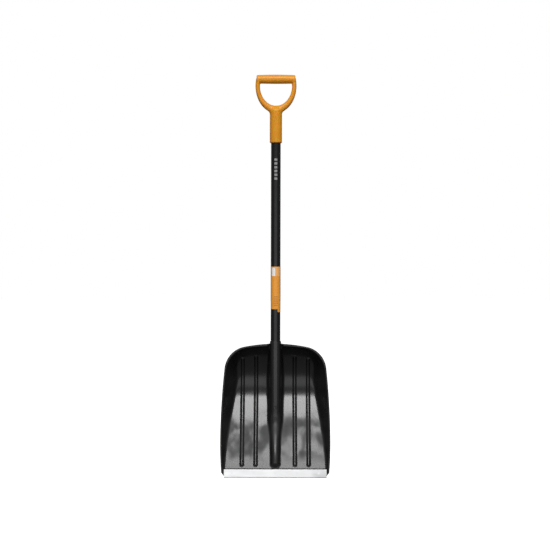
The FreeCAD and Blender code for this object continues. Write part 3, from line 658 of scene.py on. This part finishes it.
class Paint:
    """Builds a node material around one Principled shader."""

    def __init__(self, name, **settings):
        self.material = bpy.data.materials.new(name)
        self.material.use_nodes = True
        self.tree = self.material.node_tree
        self.shader = self.tree.nodes["Principled BSDF"]
        for key, value in settings.items():
            self.shader.inputs[key.replace("_", " ")].default_value = value
        self.place = self.node("ShaderNodeTexCoord").outputs["Object"]

    def node(self, kind, **settings):
        made = self.tree.nodes.new(kind)
        for key, value in settings.items():
            setattr(made, key, value)
        return made

    def link(self, source, target):
        self.tree.links.new(source, target)

    def scaled(self, x, y, z):
        mapping = self.node("ShaderNodeMapping")
        mapping.inputs["Scale"].default_value = (x, y, z)
        self.link(self.place, mapping.inputs["Vector"])
        return mapping.outputs["Vector"]

    def noise(self, scale, detail=3.0, roughness=0.5, stretch=(1, 1, 1), distortion=0.0):
        made = self.node("ShaderNodeTexNoise")
        made.inputs["Scale"].default_value = scale
        made.inputs["Detail"].default_value = detail
        made.inputs["Roughness"].default_value = roughness
        made.inputs["Distortion"].default_value = distortion
        self.link(self.scaled(*stretch), made.inputs["Vector"])
        return made.outputs["Fac"]

    def spread(self, value, low, high, to_low, to_high):
        """Maps a value smoothly from one range onto another."""
        made = self.node("ShaderNodeMapRange", interpolation_type="SMOOTHSTEP")
        self.link(value, made.inputs["Value"])
        ends = {"From Min": low, "From Max": high, "To Min": to_low, "To Max": to_high}
        for key, number in ends.items():
            made.inputs[key].default_value = number
        return made.outputs["Result"]

    def math(self, operation, first, second=None):
        made = self.node("ShaderNodeMath", operation=operation)
        for socket, value in zip(made.inputs, (first, second)):
            if value is None:
                continue
            if isinstance(value, (int, float)):
                socket.default_value = value
            else:
                self.link(value, socket)
        return made.outputs["Value"]

    def axis(self, letter):
        made = self.node("ShaderNodeSeparateXYZ")
        self.link(self.place, made.inputs["Vector"])
        return made.outputs[letter]

    def blend(self, share, first, second):
        """A colour between two others, each a plain colour or another node's."""
        made = self.node("ShaderNodeMix", data_type="RGBA")
        self.link(share, made.inputs[0])
        for socket, value in ((made.inputs[6], first), (made.inputs[7], second)):
            if isinstance(value, tuple):
                socket.default_value = (*value, 1)
            else:
                self.link(value, socket)
        return made.outputs[2]

    def bump(self, height, distance, strength=1.0):
        made = self.node("ShaderNodeBump")
        made.inputs["Distance"].default_value = distance
        made.inputs["Strength"].default_value = strength
        self.link(height, made.inputs["Height"])
        self.link(made.outputs["Normal"], self.shader.inputs["Normal"])

    def set(self, name, value):
        self.link(value, self.shader.inputs[name])


def blade_material():
    """Satin black plastic with fine scuffs, and duller smoky smears low on the floor."""
    paint = Paint("blade_black_plastic", Specular_IOR_Level=0.56)
    cloud = paint.noise(17.0, 2.0, 0.4, (1.2, 1.0, 0.9), 0.25)
    height = paint.axis("Z")
    fade_in, fade_out = paint.spread(height, 0.03, 0.085, 0, 1), paint.spread(height, 0.15, 0.23, 1, 0)
    low_zone = paint.math("MULTIPLY", fade_in, fade_out)
    marks = paint.math("MULTIPLY", paint.spread(cloud, 0.33, 0.68, 0.15, 1), low_zone)
    fine = paint.noise(420.0, 2.0, 0.5)
    scuff = paint.noise(60.0, 5.0, 0.6, (1.0, 1.0, 0.12))
    smeared = paint.spread(marks, 0, 1, 0.24, 0.56)
    base = paint.math("ADD", smeared, paint.spread(scuff, 0.5, 0.75, 0.0, 0.04))
    paint.set("Roughness", paint.math("ADD", base, paint.spread(fine, 0.3, 0.7, -0.015, 0.015)))
    share = paint.spread(cloud, 0.35, 0.7, 0, 1)
    paint.set("Base Color", paint.blend(share, (0.011, 0.011, 0.0112), (0.013, 0.013, 0.0132)))
    paint.bump(fine, 0.00003, 0.35)
    return paint.material


def grip_material():
    """Satin orange plastic with a fine moulded texture."""
    paint = Paint(
        "grip_orange_plastic", Specular_IOR_Level=0.32, Subsurface_Weight=0.35, Subsurface_Scale=0.006
    )
    cloud = paint.noise(22.0, 3.0)
    fine = paint.noise(500.0, 2.0)
    share = paint.spread(cloud, 0.35, 0.65, 0, 1)
    paint.set("Base Color", paint.blend(share, (0.69, 0.284, 0.0135), (0.71, 0.294, 0.014)))
    base = paint.spread(cloud, 0.3, 0.7, 0.36, 0.42)
    paint.set("Roughness", paint.math("ADD", base, paint.spread(fine, 0.3, 0.7, -0.02, 0.02)))
    paint.bump(fine, 0.00002, 0.15)
    return paint.material


def shaft_material():
    """A satin black coat with faint lines along the tube, and plain pale print marks on its front."""
    paint = Paint("shaft_black_coat", Specular_IOR_Level=0.5)
    lines = paint.noise(700.0, 3.0, 0.5, (1.0, 1.0, 0.01))
    fine = paint.noise(500.0, 2.0)
    x, y, z = (paint.axis(letter) for letter in "XYZ")
    front = paint.math("LESS_THAN", y, SHAFT_Y * MM)
    across = paint.math("LESS_THAN", paint.math("ABSOLUTE", x), 0.0048)
    foot, top, half_pitch, half_gap = 0.962, 1.036, 0.0062, 0.0024
    zone = paint.math("MULTIPLY", paint.math("GREATER_THAN", z, foot), paint.math("LESS_THAN", z, top))
    pitch = paint.math("PINGPONG", paint.math("SUBTRACT", z, foot), half_pitch)
    bars = paint.math("GREATER_THAN", pitch, half_gap)
    here = paint.math("MULTIPLY", front, across)
    printed = paint.math("MULTIPLY", here, paint.math("MULTIPLY", zone, bars))
    worn = paint.math("MULTIPLY", printed, paint.spread(fine, 0.3, 0.6, 0.55, 0.9))
    paint.set("Base Color", paint.blend(worn, (0.006, 0.006, 0.0062), (0.36, 0.36, 0.36)))
    paint.set("Roughness", paint.spread(lines, 0.3, 0.7, 0.24, 0.32))
    paint.bump(lines, 0.00001, 0.15)
    return paint.material


def label_material():
    """An orange printed wrap with a plain white patch and plain darker bars."""
    paint = Paint("label_orange_film", Specular_IOR_Level=0.45)
    fine = paint.noise(160.0, 3.0)
    x, y, z = (paint.axis(letter) for letter in "XYZ")
    front = paint.math("LESS_THAN", y, SHAFT_Y * MM)

    def between(value, low, high):
        above, below = paint.math("GREATER_THAN", value, low), paint.math("LESS_THAN", value, high)
        return paint.math("MULTIPLY", above, below)

    def patch(x_low, x_high, z_low, z_high):
        inside = paint.math("MULTIPLY", between(x, x_low, x_high), between(z, z_low, z_high))
        return paint.math("MULTIPLY", inside, front)

    share = paint.spread(fine, 0.35, 0.65, 0, 1)
    colour = paint.blend(share, (0.90, 0.34, 0.035), (0.96, 0.40, 0.05))
    colour = paint.blend(patch(-1, 1, 0.649, 1), colour, (0.95, 0.47, 0.14))
    rows = paint.math("GREATER_THAN", paint.math("PINGPONG", z, 0.0034), 0.0019)
    bars = paint.math("MULTIPLY", patch(-0.006, 0.0075, 0.552, 0.586), rows)
    colour = paint.blend(paint.math("MULTIPLY", bars, 0.55), colour, (0.30, 0.10, 0.02))
    colour = paint.blend(patch(-0.0115, -0.0015, 0.650, 0.676), colour, (0.95, 0.95, 0.94))
    paint.set("Base Color", colour)
    paint.set("Roughness", paint.spread(fine, 0.3, 0.7, 0.36, 0.46))
    paint.bump(fine, 0.00004, 0.3)
    return paint.material


def strip_material():
    """Bare rolled aluminium, with fine lines along it and a few duller smears, and painted shade darkening
    its right end.
    """
    paint = Paint("strip_aluminium", Metallic=1.0)
    lines = paint.noise(900.0, 3.0, 0.6, (0.02, 1.0, 1.0))
    smear = paint.noise(16.0, 3.0, 0.5, (1.0, 1.0, 3.0))
    x = paint.axis("X")
    # Painted shade: the base colour darkens towards the right end of the strip, broken up by the smear noise.
    right_end_shade_mask = paint.spread(x, 0.11, 0.135, 0, 1)
    end = paint.math("MULTIPLY", right_end_shade_mask, paint.spread(smear, 0.35, 0.6, 0.3, 1))
    paint.set("Base Color", paint.blend(end, (0.92, 0.924, 0.93), (0.76, 0.764, 0.77)))
    base = paint.spread(smear, 0.3, 0.7, 0.74, 0.80)
    paint.set("Roughness", paint.math("ADD", base, paint.spread(lines, 0.3, 0.7, -0.03, 0.03)))
    paint.bump(lines, 0.00002, 0.3)
    return paint.material


def metal_material(name, colour, roughness):
    """A plain metal with a faint mottle."""
    paint = Paint(name, Metallic=1.0)
    mottle = paint.noise(300.0, 3.0)
    darker = tuple(c * 0.93 for c in colour)
    paint.set("Base Color", paint.blend(paint.spread(mottle, 0.35, 0.65, 0, 1), darker, colour))
    paint.set("Roughness", paint.spread(mottle, 0.3, 0.7, roughness - 0.06, roughness + 0.06))
    paint.bump(mottle, 0.00003, 0.3)
    return paint.material


def plug_material():
    """Black plastic as it leaves the mould."""
    paint = Paint("plug_black_plastic", Specular_IOR_Level=0.5)
    fine = paint.noise(400.0, 2.0)
    share = paint.spread(fine, 0.3, 0.7, 0, 1)
    paint.set("Base Color", paint.blend(share, (0.012, 0.012, 0.012), (0.018, 0.018, 0.018)))
    paint.set("Roughness", paint.spread(fine, 0.3, 0.7, 0.45, 0.6))
    paint.bump(fine, 0.00004, 0.4)
    return paint.material


# ---- build the shovel ----


def add_piece(name, shape, material, node, sharp_angle=None):
    """A piece that stands for one CAD node, with its material."""
    obj = make_mesh(name, *shape, sharp_angle=sharp_angle)
    obj.data.materials.append(material)
    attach(obj, "root")
    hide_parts(node)


def dress(node, material):
    """Gives a CAD node its material."""
    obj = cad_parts[node]
    if not obj.material_slots:
        obj.data.materials.append(material)
    for material_slot in obj.material_slots:
        material_slot.material = material


black_steel = metal_material("screw_black", (0.06, 0.06, 0.062), 0.34)
aluminium = metal_material("rivet_aluminium", (0.92, 0.924, 0.93), 0.77)
plug = plug_material()

scoop = join(blade_mesh(), socket_cup())
add_piece("scoop_blade", scoop, blade_material(), "blade", sharp_angle=48)
add_piece("hand_grip", grip_mesh(), grip_material(), "d_grip")
add_piece("shaft", shaft_mesh(), shaft_material(), "shaft_tube", sharp_angle=40)
screw_shape = screw_mesh(SHAFT_Y - SOCKET_RADIUS + SCREW_SINK, SOCKET_SCREW_Z, -1)
add_piece("front_screw", screw_shape, black_steel, "socket_screw", sharp_angle=50)
screw_shape = screw_mesh(SHAFT_Y + NECK_RADIUS - SCREW_SINK, GRIP_SCREW_Z, 1)
add_piece("rear_screw", screw_shape, black_steel, "grip_screw", sharp_angle=50)
dress("edge_strip", strip_material())
dress("shaft_label", label_material())
for index in range(1, 6):
    dress(f"edge_rivet_{index}", aluminium)
dress("lower_shaft_plug", plug)
dress("upper_shaft_plug", plug)

# ---- floor, light and camera ----

LENS, CAMERA_PLACE, CAMERA_ROLL = 89.6, (-0.002, -4.474, 0.653), math.radians(0.12)


def studio_floor():
    """A plain white floor that gives off light to the camera and none to the object."""
    mesh = bpy.data.meshes.new("studio_floor")
    reach = 30.0
    corners = [(-reach, -reach, 0), (reach, -reach, 0), (reach, reach, 0), (-reach, reach, 0)]
    mesh.from_pydata(corners, [], [(0, 1, 2, 3)])
    floor = bpy.data.objects.new("studio_floor", mesh)
    bpy.context.scene.collection.objects.link(floor)
    paint = Paint("studio_floor_white", Roughness=0.9, Specular_IOR_Level=0.1)
    cloud = paint.noise(0.6, 2.0)
    share = paint.spread(cloud, 0.3, 0.7, 0, 1)
    paint.set("Base Color", paint.blend(share, (0.93, 0.93, 0.93), (0.95, 0.95, 0.95)))
    paint.shader.inputs["Emission Color"].default_value = (1, 1, 1, 1)
    paint.shader.inputs["Emission Strength"].default_value = 1.0
    mesh.materials.append(paint.material)
    floor.visible_glossy = False
    floor.visible_diffuse = False


def panel(name, place, target, width, height, radiance):
    """A soft rectangular light that gives off the same radiance all over."""
    light = bpy.data.lights.new(name, "AREA")
    light.shape = "RECTANGLE"
    light.size, light.size_y = width, height
    light.energy = radiance * math.pi * width * height
    obj = bpy.data.objects.new(name, light)
    bpy.context.scene.collection.objects.link(obj)
    obj.location = place
    obj.rotation_euler = (Vector(target) - Vector(place)).to_track_quat("-Z", "Y").to_euler()


def world_light(seen, felt):
    """A plain world, as bright as seen to the camera and as bright as felt to the object."""
    world = bpy.data.worlds.new("studio")
    bpy.context.scene.world = world
    world.use_nodes = True
    tree = world.node_tree
    background = tree.nodes["Background"]
    path = tree.nodes.new("ShaderNodeLightPath")
    mix = tree.nodes.new("ShaderNodeMix")
    mix.data_type = "RGBA"
    tree.links.new(path.outputs["Is Camera Ray"], mix.inputs[0])
    mix.inputs[6].default_value = (felt, felt, felt, 1)
    mix.inputs[7].default_value = (seen, seen, seen, 1)
    tree.links.new(mix.outputs[2], background.inputs["Color"])


def camera():
    """Straight in front of the shovel, level, at half its height, turned very slightly about its own line."""
    data = bpy.data.cameras.new("camera")
    data.sensor_width = 36.0
    data.lens = LENS
    obj = bpy.data.objects.new("camera", data)
    bpy.context.scene.collection.objects.link(obj)
    obj.location = CAMERA_PLACE
    level = Euler((math.radians(90), 0, 0)).to_matrix()
    obj.rotation_euler = (level @ Euler((0, 0, CAMERA_ROLL)).to_matrix()).to_euler()
    bpy.context.scene.camera = obj


studio_floor()
world_light(seen=1.0, felt=0.16)
panel("top_front_box", (0, -2.41, 3.46), (0, 0, 0.2), width=2.1, height=1.36, radiance=12.6)
panel("front_panel", (0, -2.6, 0.45), (0, 0, 0.45), width=3.6, height=1.3, radiance=1.0)
panel("back_fill", (0, 3.0, 1.6), (0, 0, 0.7), width=3.0, height=2.0, radiance=0.7)
camera()
bpy.context.scene.view_settings.view_transform = "Standard"
bpy.context.scene.view_settings.look = "None"
